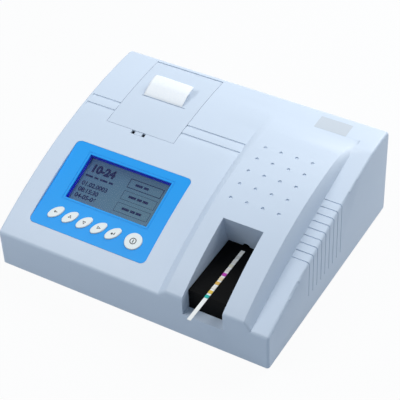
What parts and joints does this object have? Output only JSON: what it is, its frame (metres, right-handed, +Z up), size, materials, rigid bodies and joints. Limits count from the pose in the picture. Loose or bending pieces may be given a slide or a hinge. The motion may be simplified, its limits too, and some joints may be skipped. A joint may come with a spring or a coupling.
{
  "type": "urine analyzer",
  "caption": "Bench-top urine strip analyzer with a curved grey hood, tilted blue keypad and screen, slip printer with a lifting door, and a sliding black strip tray.",
  "frame": {"origin": "on the table, below the middle of the overall box (the housing and the strip that reaches out in front)", "axes": "+X to the user's right, +Y to the rear, +Z up"},
  "size_m": [0.38, 0.348, 0.1385],
  "materials": {
    "housing": "satin",
    "foot_rubber": "matte",
    "screw_steel": "satin",
    "panel_blue": "satin",
    "clear_window": "gloss",
    "screen_surround": "satin",
    "screen_glass": "satin",
    "key_white": "gloss",
    "circuit_board": "satin",
    "dark_plastic": "matte",
    "roll_card": "matte",
    "paper_white": "matte",
    "plated_steel": "satin",
    "head_ceramic": "satin",
    "platen_rubber": "matte",
    "gear_plastic": "satin",
    "gear_brass": "satin",
    "tray_black": "satin",
    "strip_white": "satin",
    "strip_pads": "matte"
  },
  "bodies": {
    "housing": {"top_cover": "housing", "base_pan": "housing", "rubber_feet": "foot_rubber", "case_screws": "screw_steel", "keypad_panel": "panel_blue", "lcd_window": "clear_window", "lcd_frame": "screen_surround", "lcd_screen": "screen_glass", "key_board": "circuit_board", "door_pins": "screw_steel", "printer_bay": "dark_plastic", "roll_spindle": "dark_plastic", "paper_web": "paper_white", "printer_frame": "plated_steel", "print_head": "head_ceramic", "printer_motor": "plated_steel", "tray_bed": "tray_black", "tray_motor": "plated_steel", "power_inlet": "dark_plastic", "switch_frame": "dark_plastic", "serial_port": "plated_steel"},
    "door": {"printer_door": "housing", "door_tab": "housing", "paper_slip": "paper_white"},
    "tray": {"strip_tray": "tray_black", "test_strip": "strip_white", "reagent_pads": "strip_pads", "tray_rack": "gear_plastic"},
    "tray_pinion": {"tray_pinion": "gear_brass"},
    "roll": {"roll_core": "roll_card", "paper_roll": "paper_white"},
    "platen": {"platen_roller": "platen_rubber", "platen_gear": "gear_plastic"},
    "idler": {"idler_gear": "gear_plastic"},
    "motor_rotor": {"motor_gear": "gear_brass"},
    "rocker": {"power_rocker": "tray_black"},
    "start": {"start_key": "key_white"},
    "press_back": {"key_back": "key_white"},
    "press_up": {"key_up": "key_white"},
    "press_down": {"key_down": "key_white"},
    "press_forward": {"key_forward": "key_white"},
    "press_enter": {"key_enter": "key_white"}
  },
  "joints": [
    {"name": "door_hinge", "type": "hinge", "parent": "housing", "child": "door", "pos_m": [-0.09266, 0.162, 0.1268], "axis": [-1, 0, 0], "range_deg": [0, 95]},
    {"name": "tray_slide", "type": "slide", "parent": "housing", "child": "tray", "axis": [0, 1, 0], "range_m": [0, 0.085]},
    {"name": "pinion_spin", "type": "hinge", "parent": "housing", "child": "tray_pinion", "pos_m": [0.09753, -0.03011, 0.0565], "axis": [0, 0, -1], "range_deg": [0, 615]},
    {"name": "roll_spin", "type": "hinge", "parent": "housing", "child": "roll", "pos_m": [-0.09426, 0.127, 0.1005], "axis": [1, 0, 0], "continuous": true},
    {"name": "platen_spin", "type": "hinge", "parent": "housing", "child": "platen", "pos_m": [-0.09426, 0.08885, 0.107], "axis": [1, 0, 0], "continuous": true},
    {"name": "idler_spin", "type": "hinge", "parent": "housing", "child": "idler", "pos_m": [-0.13396, 0.08024, 0.09545], "axis": [1, 0, 0], "continuous": true},
    {"name": "motor_spin", "type": "hinge", "parent": "housing", "child": "motor_rotor", "pos_m": [-0.13396, 0.08225, 0.08443], "axis": [1, 0, 0], "continuous": true},
    {"name": "power_switch", "type": "hinge", "parent": "housing", "child": "rocker", "pos_m": [-0.11191, 0.1695, 0.034], "axis": [1, 0, 0], "range_deg": [0, 18]},
    {"name": "back_press", "type": "slide", "parent": "housing", "child": "press_back", "axis": [0, 0.3377, -0.9413], "range_m": [0, 0.0008], "stiffness_N_per_m": 300, "springref_m": -0.001},
    {"name": "up_press", "type": "slide", "parent": "housing", "child": "press_up", "axis": [0, 0.3377, -0.9413], "range_m": [0, 0.0008], "stiffness_N_per_m": 300, "springref_m": -0.001},
    {"name": "down_press", "type": "slide", "parent": "housing", "child": "press_down", "axis": [0, 0.3377, -0.9413], "range_m": [0, 0.0008], "stiffness_N_per_m": 300, "springref_m": -0.001},
    {"name": "forward_press", "type": "slide", "parent": "housing", "child": "press_forward", "axis": [0, 0.3377, -0.9413], "range_m": [0, 0.0008], "stiffness_N_per_m": 300, "springref_m": -0.001},
    {"name": "enter_press", "type": "slide", "parent": "housing", "child": "press_enter", "axis": [0, 0.3377, -0.9413], "range_m": [0, 0.0008], "stiffness_N_per_m": 300, "springref_m": -0.001},
    {"name": "start_press", "type": "slide", "parent": "housing", "child": "start", "axis": [0, 0.3377, -0.9413], "range_m": [0, 0.0008], "stiffness_N_per_m": 300, "springref_m": -0.001}
  ],
  "couplings": [
    {"joint": "pinion_spin", "follows": "tray_slide", "rad_per_m": 125},
    {"joint": "platen_spin", "follows": "roll_spin", "ratio": -3.1429},
    {"joint": "idler_spin", "follows": "roll_spin", "ratio": 3.9286},
    {"joint": "motor_spin", "follows": "roll_spin", "ratio": -5.2381}
  ]
}
